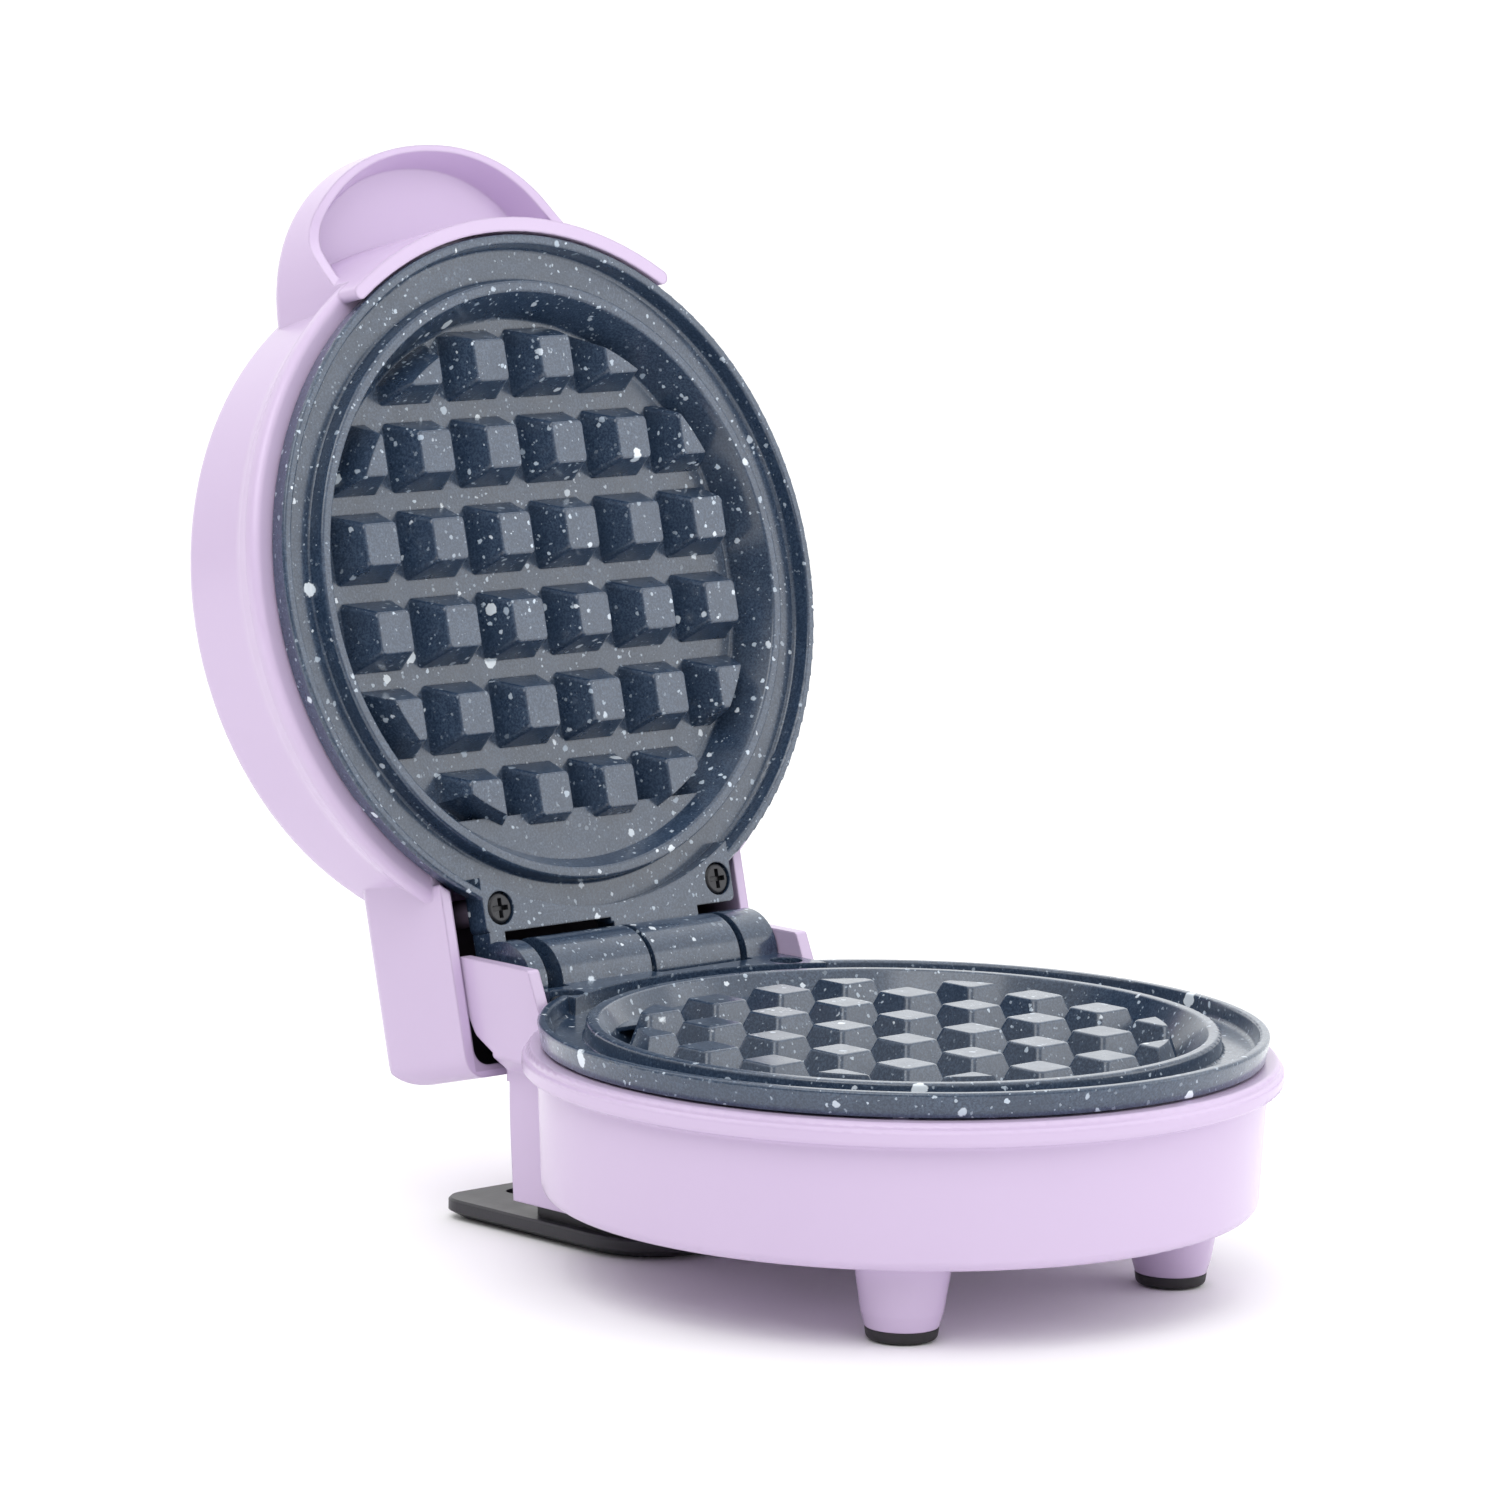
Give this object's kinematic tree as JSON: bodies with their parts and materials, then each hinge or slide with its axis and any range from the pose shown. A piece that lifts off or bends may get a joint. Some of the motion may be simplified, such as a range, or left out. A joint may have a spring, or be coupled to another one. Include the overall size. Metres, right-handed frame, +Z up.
{
  "type": "waffle maker",
  "caption": "Small round waffle maker with a hinged studded plate pair, a domed plastic lid with a hollow handle, and a tub base on front legs and a flat rear foot.",
  "frame": {"origin": "middle of the open appliance's footprint box, on the surface it stands on", "axes": "+Z up, -Y towards the user (front legs), hinge at +Y, X along the hinge axis"},
  "size_m": [0.1274, 0.1954, 0.1822],
  "materials": {
    "lilac_plastic": "glossy pastel lilac",
    "rubber": "matt black",
    "black_plastic": "satin black",
    "stone_coating": "non-stick coating, slate grey with pale specks, on cast aluminium",
    "block_plastic": "off-white",
    "heater_sheath": "heat-darkened",
    "zinc_steel": "zinc plated",
    "shield_sheet": "plain sheet",
    "thermostat_body": "moulded, with a metal cap",
    "pin_steel": "plain steel",
    "black_steel": "blackened",
    "lead_insulation": "white insulation over copper",
    "sleeve": "black silicone sleeve over two leads",
    "lens": "clear orange",
    "lamp_glass": "clear"
  },
  "bodies": {
    "base": {"base_shell": "lilac_plastic", "base_cover": "lilac_plastic", "foot_tips": "rubber", "cord_wrap_plate": "black_plastic", "cord_inlet_bush": "rubber", "lower_grill_plate": "stone_coating", "terminal_block": "block_plastic", "lower_heater": "heater_sheath", "lower_heater_clamp": "zinc_steel", "lower_clamp_spacers": "zinc_steel", "lower_clamp_screws": "zinc_steel", "lower_heat_shield": "shield_sheet", "lower_thermostat": "thermostat_body", "lower_thermostat_bracket": "zinc_steel", "lower_bracket_screws": "zinc_steel", "hinge_pin": "pin_steel", "lower_tab_screws": "black_steel", "long_screws": "zinc_steel", "wrap_plate_screws": "zinc_steel", "return_lead": "lead_insulation", "thermostat_lead": "lead_insulation", "feed_sleeve_base": "sleeve"},
    "lid": {"lid_shell": "lilac_plastic", "upper_grill_plate": "stone_coating", "upper_heater": "heater_sheath", "upper_heater_clamp": "zinc_steel", "upper_clamp_spacers": "zinc_steel", "upper_clamp_screws": "zinc_steel", "upper_heat_shield": "shield_sheet", "upper_thermostat": "thermostat_body", "upper_thermostat_bracket": "zinc_steel", "upper_bracket_screws": "zinc_steel", "upper_tab_screws": "black_steel", "indicator_lens": "lens", "neon_lamp": "lamp_glass", "feed_sleeve_lid": "sleeve"}
  },
  "joints": [
    {"name": "lid_hinge", "type": "hinge", "parent": "base", "child": "lid", "pos_m": [0, 0.03474, 0.04225], "axis": [1, 0, 0], "range_deg": [0, 104]}
  ]
}
